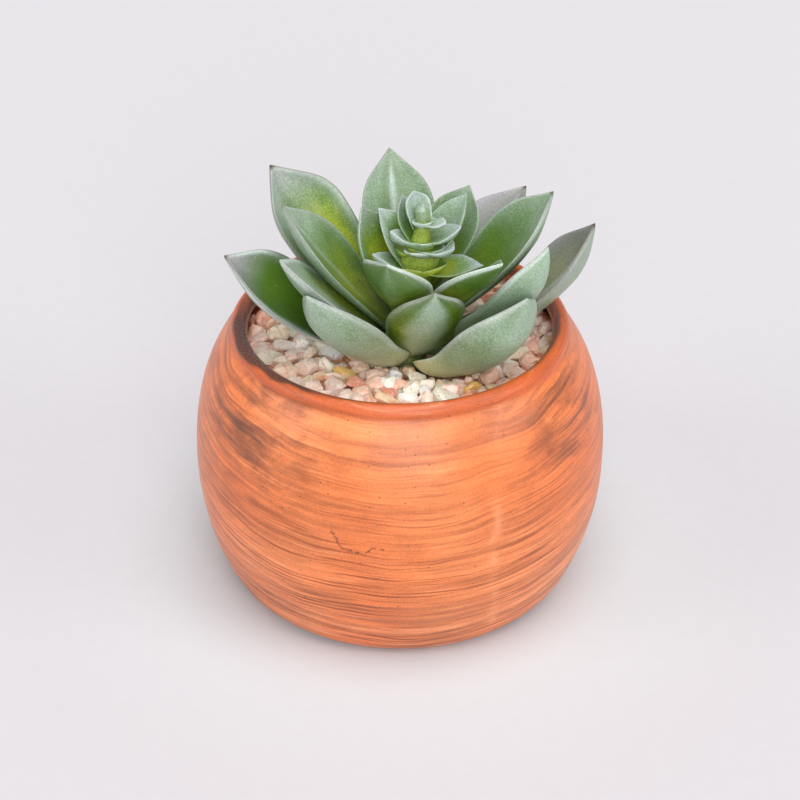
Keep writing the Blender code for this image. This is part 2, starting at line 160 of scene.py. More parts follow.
# Pot: slip-cast terracotta, brushed with a thin brown wash while it turned, then sealed
pot = dict(
    radius=50, height=69, belly=33, upperReach=50.9, upperPower=2.28, lowerReach=56.8, lowerPower=2.06,
    wall=4.2, floor=5, lipStart=66.4, baseRound=4.5, floorRound=6,
    angleStep=1.05, fineAngles=(250, 268), fineAngleStep=0.28,  # degrees; fine where the crack is
    rowStep=0.75, fineRows=(34.5, 42), fineRowStep=0.25,
    # brush lines and dents: how many cells go round, and a cell's height; where the lines get deeper
    lines=(9, 0.95), lowLines=(9, 27), grooveDepth=0.02, lowGrooveDepth=0.14, dents=(12, 8), dentDepth=0.14,
    # where the row of pits runs: compass direction and height
    crack=((251.8, 40.5), (253.2, 39.1), (253.5, 37.6), (254.9, 36.4), (256.7, 36.2), (258.9, 35.9),
        (261, 35.6), (262.6, 37.4), (265.9, 37.3)),
    pits=64, pitDepth=0.22, pitRadius=0.2, pitScatter=0.12,
    # a hairline across the front, and the rows that are laid closer for it
    hairline=((258.5, 58), (271, 57.2), (283, 57.9), (293, 57.6), (308, 56), (322, 55)), hairRows=(54, 59),
    hairWidth=0.16, hairWander=0.25,
    tilt=0.12, sway=0.5,  # the brush lines lie lower in front, in mm for each mm, and sway up and down
    # where the wash is thick on the shoulders: direction and width, height and its spread, strength
    clouds=((218, 32, 55, 13, 0.5), (326, 24, 56, 12, 0.45), (95, 50, 52, 14, 0.4)),
    lipWash=(205, 58),  # where the lip's dark band is widest, and how far round it is so
    seamAt=21.7, seamWidth=1.0, seed=5,
)


# Outer radius at a height: two superellipses that meet at the belly.
def potRadius(height):
    high = height > pot["belly"]
    reach = np.where(high, pot["upperReach"], pot["lowerReach"])
    power = np.where(high, pot["upperPower"], pot["lowerPower"])
    share = np.abs(height - pot["belly"]) / reach
    return pot["radius"] * (1 - share ** power) ** (1 / power)


def innerRadius(height):  # the outer radius less the wall
    return potRadius(height) - pot["wall"]


# A quadratic curve that leaves its start and reaches its end along the lines to a middle point.
def potCorner(start, middle, end, count):
    t = np.linspace(0, 1, count)[:, None]
    return (1 - t) ** 2 * np.array(start) + 2 * t * (1 - t) * np.array(middle) + t ** 2 * np.array(end)


# Half section as radius and height: inner floor, inner wall, lip as half an ellipse, outer wall
# from the top down, base corner and base. The third column is 1 on the outside, for the relief.
def potProfile():
    wall, floor, lip, turn = pot["wall"], pot["floor"], pot["lipStart"], pot["floorRound"]
    footRadius, above = innerRadius(floor), floor + turn
    inside = [np.column_stack([np.linspace(6, footRadius - turn, 6)[:-1], np.full(5, floor)])]
    end = (innerRadius(above), above)
    inside.append(potCorner((footRadius - turn, floor), (footRadius, floor), end, 6))
    heights = np.concatenate([np.linspace(above, 58, 11)[1:], np.linspace(58, lip, 10)[1:]])
    inside.append(np.column_stack([innerRadius(heights), heights]))
    turnOver = np.linspace(math.pi, 0, 24)[1:-1]
    middle, rise = potRadius(lip) - wall / 2, pot["height"] - lip
    inside.append(np.column_stack([middle + wall / 2 * np.cos(turnOver), lip + rise * np.sin(turnOver)]))
    stops = (lip, *pot["hairRows"][::-1], *pot["fineRows"][::-1], pot["baseRound"])
    steps = (pot["rowStep"], pot["fineRowStep"]) * 3
    heights = np.concatenate([np.arange(a, b, -step) for a, b, step in zip(stops, stops[1:], steps)])
    outside = [np.column_stack([potRadius(heights), heights])]
    base, low = potRadius(0.0), pot["baseRound"]
    outside.append(potCorner((potRadius(low), low), (base, 0), (base - 0.7 * low, 0), 8))
    outside.append(np.array([[base * 0.6, 0], [base * 0.2, 0]]))
    inside, outside = np.vstack(inside), np.vstack(outside)
    side = np.concatenate([np.zeros(len(inside)), np.ones(len(outside))])
    return np.column_stack([np.vstack([inside, outside]), side])


# The pot is its half section carried round the axis. The relief only ever goes inwards: fine
# turning grooves, deeper near the base, wide shallow dents, and a broken row of small pits.
def buildPot(finish):
    section = potProfile()
    fineLow, fineHigh = pot["fineAngles"]
    angles = np.concatenate([
        np.arange(fineLow, fineHigh, pot["fineAngleStep"]),
        np.arange(fineHigh, fineLow + 360, pot["angleStep"]),
    ])
    radius, height, side = (section[:, k][:, None] + 0 * angles for k in range(3))
    compass = (angles + 0 * height) % 360
    turnTo = np.radians(compass)
    slant = height - pot["tilt"] * radius * np.sin(turnTo)
    slant = slant + pot["sway"] * np.sin(np.radians(3 * compass))
    (cells, tall), (dents, dentTall) = pot["lines"], pot["dents"]
    lines = softNoise(compass / 360 * cells, slant / tall, pot["seed"], cells)
    low = 1 - ease(*pot["lowLines"], height)
    groove = ease(0.52, 0.86, lines) * side * (0.3 + 0.7 * low)
    scratch = ease(0.24, 0.08, lines) * side * low
    known = np.array(pot["hairline"])
    hairAt = np.interp(compass, known[:, 0], known[:, 1])
    hairAt = hairAt + pot["hairWander"] * softNoise(compass / 2.5, 0 * height, 8, 144)
    hairline = bump(height, hairAt, pot["hairWidth"]) * side
    hairline *= ease(257, 260, compass) * (1 - ease(319, 323, compass))
    groove = np.maximum(groove, 0.8 * hairline)
    depth = groove * (pot["grooveDepth"] + low * (pot["lowGrooveDepth"] - pot["grooveDepth"]))
    wide = softNoise(compass / 360 * dents, height / dentTall, pot["seed"] + 1, dents)
    depth += side * pot["dentDepth"] * wide

    draw = np.random.default_rng(pot["seed"] + 2)
    corners = np.array(pot["crack"])
    steps = np.sort(draw.random(pot["pits"])) * (len(corners) - 1)
    pitAngle, pitHeight = (np.interp(steps, np.arange(len(corners)), known)
        + draw.normal(0, pot["pitScatter"], len(steps)) for known in corners.T)
    pitSize = pot["pitRadius"] * draw.uniform(0.7, 1.35, len(steps))
    pit = np.zeros_like(height)
    for angle, level, size in zip(pitAngle, pitHeight, pitSize):
        across = np.radians(compass - angle) * pot["radius"]
        pit = np.maximum(pit, np.exp(-(across ** 2 + (height - level) ** 2) / size ** 2) * side)
    depth += pit * pot["pitDepth"]

    # the wash: a dark band on the inner half of the lip, widest at the left, and clouds on the shoulders
    middle, spread = pot["lipWash"]
    left = bump((compass - middle + 180) % 360 - 180, 0, spread)
    lipShare = (radius - potRadius(pot["lipStart"])) / pot["wall"] + 1
    reach = 0.32 + 0.45 * left + 0.2 * softNoise(compass / 8, 0 * height, pot["seed"] + 5, 45)
    lip = (1 - ease(reach - 0.2, reach + 0.12, lipShare)) * ease(65.6, 66.9, height) * (0.6 + 0.4 * left)
    clouds = 0.2 * ease(61, 66, height)
    for angle, wide, level, tall, strength in pot["clouds"]:
        clouds += strength * bump((compass - angle + 180) % 360 - 180, 0, wide) * bump(height, level, tall)
    wash = np.maximum(lip, side * np.clip(clouds, 0, 0.55))
    front = np.sin(turnTo) < 0
    ragged = 1.2 * softNoise(0 * compass, height / 3, pot["seed"] + 4) - 0.6
    across = potRadius(np.clip(height, 0, 68)) * np.cos(turnTo)
    seam = bump(across, pot["seamAt"] + ragged, pot["seamWidth"])
    broken = ease(0.3, 0.6, softNoise(0 * compass, height / 2.2, pot["seed"] + 3))
    seam *= side * front * ease(4, 12, height) * (1 - 0.75 * ease(42, 56, height)) * (0.2 + 0.6 * broken)
    seam = np.maximum(seam, 0.7 * scratch)

    radius = radius - depth
    rows = np.stack([radius * np.cos(turnTo), radius * np.sin(turnTo), height], -1) * mm
    mesh = surfaceOf("pot_wall", rows)
    attach(mesh, "potMarks", np.stack([groove, pit, wash, seam], -1))
    addPiece("pot_wall", mesh, finish, "terracotta", "pot")


# Fired terracotta under a brushed brown wash: an orange body seen through streaks that follow
# the turning, darker and glossier where the wash is thick, with pinholes from the casting.
def potMaterial():
    made, add, shader, place = newMaterial("firedTerracottaWithBrownWash")
    marks = add("Attribute", attribute_name="potMarks")
    parts = add("SeparateColor", (marks,))
    groove, pit, wash = (parts.outputs[k] for k in range(3))
    seam = marks.outputs["Alpha"]

    # slow wander of the streaks: 28 mm clouds push them up and down by about 1 mm
    wander = add("TexNoise", (place, 1 / 0.028, 2))
    pushed = add("Math", (wander, 0.005, -0.0025), **timesPlus)
    level = add("SeparateXYZ", (place,))
    tilted = add("Math", (level.outputs[1], -pot["tilt"], pushed), **timesPlus)
    lift = add("CombineXYZ", (0, 0, tilted))
    moved = add("VectorMath", (place, lift), operation="ADD").outputs[0]

    # brush streaks: 50 mm long and 2.6 mm wide, and hair streaks 26 mm long and 0.6 mm wide
    broadAt = add("Mapping", {"Vector": moved, "Scale": (1 / 0.05, 1 / 0.05, 1 / 0.0026)})
    broad = add("TexNoise", (broadAt, 1, 6, 0.66))
    hairAt = add("Mapping", {"Vector": moved, "Scale": (1 / 0.026, 1 / 0.026, 1 / 0.0006)})
    hair = add("TexNoise", (hairAt, 1, 4, 0.6))
    cloud = add("TexNoise", (place, 1 / 0.034, 4, 0.55))
    grain = add("TexNoise", (place, 1 / 0.0005, 3, 0.7))

    body = add("MapRange", (cloud, 0.3, 0.7))
    colour = add("Mix", (body, "#E37234", "#F28F55"), **rgba)
    # the lip's outer half is a deeper orange, where the glaze of the wash ran thin
    topPart = add("MapRange", (level.outputs[2], 0.0648, 0.0672, 0, 0.75), **smooth)
    # soft brown patches, 12 mm long and 7 mm high, show where the wash is
    patchAt = add("Mapping", {"Vector": place, "Scale": (1 / 0.012, 1 / 0.012, 1 / 0.007)})
    patch = add("TexNoise", (patchAt, 1, 5, 0.62))
    patchMask = add("MapRange", (patch, 0.42, 0.68), **smooth)
    patchRoom = add("MapRange", (wash, 0, 1, 0.22, 1.6))
    patchPart = add("Math", (patchMask, patchRoom), use_clamp=True, **times)

    # streaks are faint above and strong near the base, and stronger in the wash and in wide clouds
    lowness = add("MapRange", (level.outputs[2], 0.055, 0.02, 0.4, 1), **smooth)
    room = add("MapRange", (cloud, 0.35, 0.65, 0.2, 0.7))
    more = add("Math", (wash, 0.6, room), **timesPlus, use_clamp=True)
    broadMask = add("MapRange", (broad, 0.42, 0.7), **smooth)
    broadPart = add("Math", (broadMask, more), **times)
    hairMask = add("MapRange", (hair, 0.5, 0.66, 0, 0.95), **smooth)
    hairPart = add("Math", (hairMask, lowness), **times)
    paleMask = add("MapRange", (hair, 0.42, 0.28, 0, 0.7), **smooth)
    palePart = add("Math", (paleMask, lowness), **times)

    # wash settles in the grooves, and is thick on the lip and the shoulders
    groovePart = add("Math", (groove, 0.6), **times)
    uneven = add("MapRange", (broad, 0.3, 0.62, -0.35, 0.5))
    thick = add("Math", (wash, 1.25, uneven), **timesPlus)
    thickPart = add("MapRange", (thick, 0.5, 1.3, 0, 0.9), **smooth)
    seamPart = add("Math", (seam, cloud), **times)

    # pinholes: half of the cells of 2.2 mm have a dot 0.4 mm wide
    cells = add("TexVoronoi", (place, 1 / 0.0022))
    chosen = add("SeparateColor", (cells.outputs["Color"],))
    some = add("Math", (chosen.outputs[0], 0.5), operation="GREATER_THAN")
    dot = add("MapRange", (cells.outputs["Distance"], 0.11, 0.05), **smooth)
    hole = add("Math", (dot, some), **times)
    dark = add("Math", (hole, pit), operation="MAXIMUM")
    darkPart = add("Math", (dark, 0.85), **times)

    layers = ((topPart, "#C04C12"), (patchPart, "#8E4A26"), (broadPart, "#A85526"), (hairPart, "#873F1B"),
        (palePart, "#FFB27C"), (groovePart, "#8F4A2B"), (thickPart, "#4A2F26"), (seamPart, "#FFA976"),
        (darkPart, "#4A2A1C"))
    for share, layer in layers:
        colour = add("Mix", (share, colour, layer), **rgba)
    shade = add("MapRange", (grain, 0.3, 0.7, 0.85, 1.13))
    grained = add("VectorMath", (colour, shade), **scaled)
    gloss = add("MapRange", (thickPart, 0, 1, 0.36, 0.2))
    rough = add("Math", (grain, 0.12, gloss), **timesPlus)
    relief = add("Math", (hair, 0.6, grain), **timesPlus)
    sunk = add("Math", (relief, hole), operation="SUBTRACT")
    dent = add("Bump", {"Strength": 0.35, "Distance": 0.00012, "Height": sunk})
    setInputs(shader, {"Base Color": grained, "Roughness": rough, "IOR": 1.5, "Coat Weight": 0.2,
        "Coat Roughness": 0.3, "Normal": dent})
    return made


buildPot(potMaterial())
print("pot made")

# Plant: a short leaning stem, with leaves by name
stem = dict(
    foot=(2.3, -5.0, 62.0), lean=0.082, rings=90, sides=36,
    radii=((-14, 2.4), (-4, 3.4), (2, 3.6), (9, 3.4), (17, 3.0), (20, 3.3), (23, 4.4), (26, 4.8), (28.3, 4.2),
        (29.6, 2.6), (32, 2.0), (36, 1.3)),
)
stemX, stemY, stemZ = stem["foot"]

# Shape: turn is the compass direction, rise the slope at the foot and at the tip, seat the foot's
# height above the stem's foot, roll the turn about the leaf's length, cup the channel's depth over
# the half width, upper the share of the thickness above, fold the depth of the middle crease in mm,
# base how much rounder the blade is just above its foot, wave the margins' waves in mm.
# Colour, as shares from 0 to 1. On the upper face: deep is the dark green in the middle, partly
# painted shade in the cupped channel, root the same near the stem, partly painted shade where the
# leaves crowd, glow the yellow-green of thin young flesh, brightened as painted light shining
# through it, round glowAt along the leaf; bloom is the pale wax that starts at bloomFrom, edge the
# wax along both margins, and blush the mauve that starts at blushFrom. On the under face: under is
# its wax, underGlow the yellow-green flesh, brightened as painted light shining through it, up to
# lowTo, flanks the plain green on both sides from flankFrom on, shifted by flankShift.
# rim is the pale line on the margin, pale wax partly brightened as a painted highlight, and rimWidth
# its width in mm, line the thin brown line at the very edge, crease the pale line along the middle,
# which is a painted highlight, point the dried tip, foot the pale flesh at the stem. band is wax on
# one half, partly a painted highlight on the side that the light falls on: its side (1 is the left
# half seen from the stem), where it starts, and its strength.
grownLeaf = dict(
    thick=2.9, upper=0.18, footRadius=4.4, neck=0.26, widest=0.6, cup=0.35, roll=0, tipPower=2, wave=0.14,
    deep=0.35, glow=0.2, glowAt=0.4, bloom=0.5, bloomFrom=0.5, edge=0.45, blush=0.35, blushFrom=0.72,
    under=0.85, underGlow=0.15, flanks=0.1, flankFrom=0.3, flankShift=0, lowTo=0.95, root=0.75, rim=0.28,
    rimWidth=0.5, line=0.3, crease=0, point=0, band=(1, 0.5, 0), foot=0.15, fold=0.25, base=0,
)
youngLeaf = dict(grownLeaf, thick=1.9, footRadius=0.3, neck=0.85, widest=0.5, cup=0.3, tipPower=2.4,
    deep=0.15, glow=0.7, glowAt=0.05, bloom=0.95, bloomFrom=0.15, edge=0.5, blush=0.25, under=0.45,
    underGlow=0.5, flanks=0.2, root=0, rim=0.12, rimWidth=0.35, line=0, foot=0, fold=0.12)

leaves = {
    "left_low": dict(turn=187, rise=(33, 43), length=48.5, width=21.5, seat=-0.7, roll=-15, cup=0.3,
        widest=0.66, deep=1, glow=0.05, glowAt=0.5, bloom=0.6, bloomFrom=0.75, edge=0.15, blush=0.9, rim=1,
        rimWidth=1.5, line=0.6, band=(1, 0.65, 1), point=0.9, fold=0.4),
    "left_front": dict(turn=208, rise=(44, 48), length=41.5, width=18, seat=3.9, roll=-9, cup=0.2,
        deep=0.2, glow=0.6, glowAt=0.45, root=0.2, bloom=0.9, bloomFrom=0.35, edge=0.3, blush=0.6, rim=1,
        rimWidth=1.8, band=(1, -0.3, 0.95)),
    "left": dict(turn=178, rise=(52, 51), length=41, width=20, seat=6.7, roll=-2, cup=0.3, widest=0.56,
        deep=0.75, glow=0.4, glowAt=0.3, root=1, bloom=0.8, edge=0.2, rim=0.3, rimWidth=0.7, crease=0.25,
        point=0.6, fold=0.35),
    "front_left": dict(turn=229, rise=(33, 57), length=43, width=19, seat=0.5, roll=4, cup=0.5,
        under=0.9, flanks=0.25, foot=0.4, blush=0.45, rim=0.5, base=0.25),
    "front": dict(turn=284, rise=(50, 61), length=30.5, width=18.5, seat=3.3, roll=-1, cup=0.3,
        widest=0.56, neck=0.42, deep=0.8, under=0.9, underGlow=0.35, flanks=1, flankShift=-0.05, foot=0.3,
        blush=0.45, rim=0.5, base=0.35),
    "front_right": dict(turn=321, rise=(18, 71), length=42, width=24, seat=-1.3, roll=-9, cup=0.5,
        widest=0.66, deep=0.8, underGlow=0.2, flanks=0.3, foot=0.8, blush=0.45, rim=0.5, base=0.3),
    "right_front": dict(turn=348, rise=(14, 74), length=39, width=18, seat=6.3, roll=-19, cup=0.45,
        widest=0.64, deep=0.8, under=1, underGlow=0.1, flanks=0.15, blush=0.15, edge=0.4, rim=0.6,
        rimWidth=0.7),
    "right_low": dict(turn=10, rise=(12, 63), length=51, width=19, seat=0.7, roll=-8, cup=0.4,
        widest=0.7, deep=0.1, glow=0.7, glowAt=0.55, bloom=0.1, bloomFrom=0.3, blush=0.6, blushFrom=-0.4,
        edge=0.2, under=0.75, line=0.6, crease=0.9, point=1, fold=0.9),
    "right": dict(turn=11, rise=(42, 54), length=42.5, width=21, seat=8.1, roll=1, deep=0.6, glowAt=0.3,
        bloom=0.75, edge=0.25, blush=0.1, rim=0.5, rimWidth=0.7, band=(-1, 0.72, 0.9), point=0.9, fold=0.4),
    "back_right": dict(turn=47, rise=(48, 23), length=45.5, width=19, seat=2.6, roll=-2, deep=0.8,
        glow=0.15, bloom=0, bloomFrom=0.1, edge=0.2, blush=0.7, blushFrom=-0.3, line=0.6, crease=0.6,
        point=1),
    "back_right_low": dict(turn=75, rise=(25, 43), length=35, width=19, seat=0.5, roll=5, widest=0.64,
        deep=0.6, bloom=0.6, blush=0.5),
    "back": dict(turn=101, rise=(61, 52), length=42.5, width=18, seat=5.1, roll=8, widest=0.64,
        deep=0.85, glow=0.15, glowAt=0.2, bloom=0.55, bloomFrom=0.45, edge=0.3, blush=0.2, line=0.6,
        crease=0.8, band=(1, 0.3, 0.5), point=0.3, fold=0.6),
    "back_left_low": dict(turn=125, rise=(24, 40), length=33.5, width=19, seat=-1.4, roll=-2,
        widest=0.64, deep=0.6, bloom=0.6, blush=0.5),
    "back_left": dict(turn=154, rise=(47, 54), length=50.5, width=23, seat=2.5, roll=-9, cup=0.4,
        widest=0.68, deep=0.4, glow=1, glowAt=0.45, root=0.9, bloom=0.85, bloomFrom=0.64, edge=0.4,
        blush=0.55, rim=0.9, rimWidth=1.6, line=0.7, band=(1, 0.2, 1), point=1, fold=0.35),
    "middle_front": dict(turn=251, rise=(53, 57), length=25.5, width=17.5, seat=13, roll=-10,
        widest=0.68, glow=0.7, under=0.15, underGlow=0.95, lowTo=0.78, flanks=0.85, flankFrom=0,
        flankShift=0.1, rim=0.7, rimWidth=0.45, line=0, foot=0),
    "middle_right": dict(turn=323, rise=(59, 35), length=30, width=15, seat=10.6, roll=-10, cup=0.3,
        widest=0.64, glow=0.7, under=0.1, underGlow=0.95, lowTo=0.78, flanks=0.8, flankFrom=0, rim=0.9,
        rimWidth=0.6, blush=0.2, line=0, foot=0),
    "middle_back_right": dict(turn=45, rise=(61, 58), length=25.5, width=13.5, seat=16, roll=10,
        widest=0.64, footRadius=4.9, deep=0.5, glow=0.4, glowAt=0.15, bloom=0.7, bloomFrom=0.4, edge=0.3,
        rim=0.25, rimWidth=0.35, blush=0.1, line=0),
    "middle_back_left": dict(turn=150, rise=(81, 56), length=26.5, width=14, seat=10.6, roll=-9,
        cup=0.18, deep=0.2, glow=1, root=0.3, bloomFrom=0.7, edge=0.25, rim=0.35, rimWidth=0.35, blush=0.3,
        line=0),
}
# The crown's leaves clasp the stem in tiers whose short front leaves close them to cups: a bowl of
# six, a collar, a saucer, and the bud with its hood and lip
crownLeaves = {
    "bowl_front": dict(turn=277, rise=(0, 28), length=6.3, width=12.5, seat=23.9, widest=0.4, thick=1.3,
        tipPower=3.2, glow=1, glowAt=0.5, bloom=0, edge=0.1, blush=0, under=0.1, underGlow=1, lowTo=1.3,
        rim=0.2),
    "collar_front": dict(turn=291, rise=(0, 22), length=5.7, width=9.6, seat=28.6, cup=0.2, widest=0.4,
        thick=1.2, tipPower=3.4, glowAt=0.4, bloom=0.4, bloomFrom=0.5, under=0.8, underGlow=0.1, rim=1,
        rimWidth=0.8),
    "saucer_front": dict(turn=267, rise=(2, 34), length=4.3, width=8.8, seat=30.2, cup=0.2, widest=0.4,
        thick=1.1, tipPower=3.4, glow=0.5, glowAt=0.3, bloom=0.5, bloomFrom=0.4, under=0.4, rim=0.5),
    "lip_front": dict(turn=264, rise=(0, 26), length=2.5, width=4.6, seat=35.2, cup=0.2, thick=1, neck=1,
        tipPower=3.2, deep=0, glow=0.1, bloom=1, bloomFrom=-0.4, rim=0.5, under=0.9, underGlow=0),
    "bowl_right": dict(turn=345, rise=(0, 21), length=15.6, width=10.5, seat=23.1, thick=1.2, tipPower=1.7,
        glow=1, glowAt=0.3, bloomFrom=0.4, blush=0.6, under=0.1, underGlow=0.7, rim=0.25),
    "bowl_left": dict(turn=195, rise=(8, 42), length=11.8, width=8, seat=23.3, widest=0.4, bloomFrom=0.2,
        blush=0.8, rim=0.3, under=0.95, underGlow=0.1),
    "bowl_back_left": dict(turn=143, rise=(58, 31), length=16, width=11, seat=23.8, roll=-10, widest=0.38,
        tipPower=1.8, deep=0.6, glow=0.9, glowAt=0.2, bloom=0.6, bloomFrom=0.55, blush=0.5,
        band=(1, 0.4, 0.6)),
    "bowl_back_right": dict(turn=32, rise=(40, 56), length=19, width=10.5, seat=24.9, tipPower=2, deep=0.3,
        glow=0.2, bloom=0.75, bloomFrom=0.05, blush=0.1, band=(-1, 0.7, 0.9)),
    "bowl_back": dict(turn=89, rise=(50, 70), length=14.5, width=8.5, seat=22.7),
    "collar_right": dict(turn=334, rise=(4, 12), length=8.4, width=8.5, seat=28.8, cup=0.2, tipPower=3,
        glow=0.8, bloom=1, bloomFrom=0.3, blush=0.9, rim=0.4, rimWidth=0.5, under=0.9, underGlow=0),
    "collar_left": dict(turn=180, rise=(5, 10), length=6, width=8, seat=27.9, cup=0.2, glow=1, glowAt=0.5,
        bloom=0.1, edge=0.1, blush=0, rim=0, under=0.1, underGlow=1),
    "saucer_left": dict(turn=188, rise=(12, 42), length=7.6, width=5.5, seat=29.8, glow=0.5, bloom=1,
        bloomFrom=0.1, blush=0.9, rim=0.35, rimWidth=0.5, under=0.9, underGlow=0.1),
    "saucer_right": dict(turn=356, rise=(12, 36), length=9.8, width=8, seat=30.2, cup=0.2, thick=1.5,
        deep=0.1, glow=0.3, bloom=1, bloomFrom=0, blush=0.9, under=0.7, underGlow=0.3, rim=0.2),
    "hood_left": dict(turn=131, rise=(48, 72), length=12, width=7, seat=29.1, cup=0.35, neck=0.7, deep=0.9,
        glow=0.2, bloom=0.5, bloomFrom=0.3, edge=0.3, blush=0.5, rim=0.1),
    "hood_back": dict(turn=125, rise=(58, 82), length=8.6, width=6.6, seat=33.5, cup=0.5, tipPower=3.6,
        deep=0.1, glow=0.1, bloom=1, bloomFrom=0, blush=0.4, band=(1, 0.3, 1), rim=0.5, rimWidth=0.8),
    "lip_right": dict(turn=334, rise=(0, 26), length=5.8, width=4.8, seat=34.9, cup=0.2, thick=1.2, neck=1,
        deep=0, glow=0.1, bloom=1, bloomFrom=-0.4, blush=0.9, rim=0.6, rimWidth=0.5, under=0.8),
    "lip_left": dict(turn=205, rise=(0, 20), length=2, width=4.2, seat=35.1, cup=0.2, thick=1.2, deep=0,
        glow=0.1, bloom=1, bloomFrom=-0.4, blush=0.5, rim=0.5, rimWidth=0.5, under=0.8),
    "bud": dict(turn=270, rise=(87, 87), length=5.2, width=3.4, seat=34.6, cup=0, widest=0.55, thick=3.2,
        footRadius=0, tipPower=1.8, upper=0.5, deep=0.6, glow=0.2, glowAt=0, bloom=1, bloomFrom=0.35,
        edge=0.1, rim=0, under=0.8, underGlow=0.4, flanks=0.5),
}


# Half width over the widest half width: a sine up from the neck, then a power curve to the tip,
# drawn in a little over the last fifth, as a real leaf's point is.
def bladeOutline(share, leaf):
    swell = np.sin(math.pi / 2 * np.clip(share / leaf["widest"], 0, 1)) ** 1.15
    fall = np.clip((share - leaf["widest"]) / (1 - leaf["widest"]), 0, 1)
    drawnIn = 1 - 0.22 * ease(0.8, 1, share)
    rise = leaf["neck"] + (1 - leaf["neck"]) * swell + leaf["base"] * bump(share, 0.15, 0.12)
    return rise * (1 - fall ** leaf["tipPower"]) * drawnIn


# A leaf as rings along it. The middle line bends evenly from the first slope to the second.
# Each ring is a flat lens, cupped by a parabola across its width, creased along the middle, a
# little wavy at the margins and turned by roll. Returns the points, and for each of them its
# share along and across the leaf, and 1 on the upper face to -1 on the under face.
def leafRings(leaf, rings, sides):
    fine = np.linspace(0, 1, 401)
    slope = np.radians(leaf["rise"][0] + (leaf["rise"][1] - leaf["rise"][0]) * fine)
    along, up = (np.concatenate([[0], np.cumsum(part(slope[:-1]))]) / 400 * leaf["length"]
        for part in (np.cos, np.sin))
    share = 1 - (1 - np.linspace(0, 0.995, rings)) ** 1.25  # rings lie closer towards the tip
    along, up, slope = (np.interp(share, fine, values)[:, None] for values in (along, up, slope))
    width = leaf["width"] / 2 * bladeOutline(share, leaf)[:, None]
    thick = leaf["thick"] * np.minimum(1, 0.55 + 0.9 * share) * np.clip((1 - share) * 4, 0, 1) ** 0.6
    turn = np.linspace(0, math.tau, sides, endpoint=False)
    across, face = np.cos(turn), np.sin(turn)
    side = width * across
    height = np.where(face > 0, leaf["upper"], 1 - leaf["upper"]) * face * thick[:, None]
    height = height + leaf["cup"] * width * (across ** 2 - 0.35)
    folded = ease(0.04, 0.3, share) * (1 - ease(0.8, 0.99, share))
    height -= leaf["fold"] * bump(across, 0, 0.22) * folded[:, None]
    wave = leaf["wave"] * np.sin(9 * share + 0.1 * leaf["turn"])[:, None]
    height += wave * across ** 3 * ease(0.1, 0.4, share)[:, None]
    roll = math.radians(leaf["roll"])
    rolled = side * math.cos(roll) - height * math.sin(roll)
    height = side * math.sin(roll) + height * math.cos(roll)
    forward = leaf["footRadius"] + along - height * np.sin(slope)
    height = up + height * np.cos(slope)
    direction = math.radians(leaf["turn"])
    middle = stemX + stem["lean"] * leaf["seat"]
    x = forward * math.cos(direction) - rolled * math.sin(direction) + middle
    y = forward * math.sin(direction) + rolled * math.cos(direction) + stemY
    z = height + stemZ + leaf["seat"]
    grid = np.ones_like(x)
    return np.stack([x, y, z], -1) * mm, share[:, None] * grid, across * grid, face * grid


# The leaf's colour shares, each from 0 to 1, worked out from the place on the leaf. away is the
# distance from the margin in mm: the half width times what is left of it.
def leafPaint(leaf, share, across, face):
    up = ease(-0.15, 0.3, face)
    away = leaf["width"] / 2 * bladeOutline(share, leaf) * (1 - np.abs(across))
    edge, inside = ease(0.68, 1, np.abs(across)), 1 - np.abs(across) ** 4
    flank = ease(leaf["flankFrom"], leaf["flankFrom"] + 0.4, np.abs(across - leaf["flankShift"]))
    # band: wax on one half, partly a painted highlight on the side that the light falls on
    side, start, strength = leaf["band"]
    band = strength * ease(start, min(start + 0.35, 1), side * across) * ease(0.1, 0.4, share)
    # root and deep: dark green, partly painted shade near the stem and in the cupped channel
    root = leaf["root"] * (1 - ease(0.05, 0.42, share))
    deep = up * np.maximum(leaf["deep"] * bump(share, 0.42, 0.36) * inside, root)
    deep = deep + (1 - up) * leaf["flanks"] * flank
    # glow: yellow-green flesh, brightened as painted light shining through it
    glow = up * leaf["glow"] * bump(share, leaf["glowAt"], 0.26) * (1 - ease(0.45, 1, np.abs(across)))
    low = 1 - ease(leaf["lowTo"] - 0.5, leaf["lowTo"], share)
    glow = glow + (1 - up) * leaf["underGlow"] * low * (1 - 0.3 * leaf["flanks"] * flank)
    bare = (1 - leaf["bloom"] * ease(leaf["bloomFrom"], 1, share)) * (1 - leaf["edge"] * edge) * (1 - band)
    wax = up * (1 - bare)
    wax = wax + (1 - up) * leaf["under"] * (1 - leaf["underGlow"] * 0.9 * low) * (1 - leaf["flanks"] * flank)
    blush = ease(leaf["blushFrom"], 1, share) * (0.4 + 0.6 * up) + 0.5 * edge * ease(0.35, 0.8, share)
    blush = leaf["blush"] * blush
    patchy = 0.25 + 0.95 * softNoise(7 * share + 0.3 * leaf["turn"], 3 + np.sign(across), 9)
    # rim: the pale wax line at the margin, partly a painted highlight
    rim = 1 - ease(0.4 * leaf["rimWidth"], leaf["rimWidth"], away)
    rim = leaf["rim"] * rim * ease(0.12, 0.35, share) * patchy
    line = leaf["line"] * (1 - ease(0.05, 0.3, away)) * ease(0.3, 0.6, share)
    tip = np.maximum(leaf["point"] * ease(0.968, 0.99, share), line)
    foot = leaf["foot"] * (1 - ease(0.1, 0.5, share)) * (1 - 0.5 * up)
    # crease: a painted highlight along the middle of the upper face
    crease = leaf["crease"] * up * patchy * bump(across, 0, 0.08)
    crease = crease * ease(0.1, 0.4, share) * (1 - ease(0.85, 0.98, share))
    shares = np.clip(np.stack([deep, glow, wax, blush], -1), 0, 1)
    marks = np.clip(np.stack([rim, tip, foot, crease], -1), 0, 1)
    return shares, marks


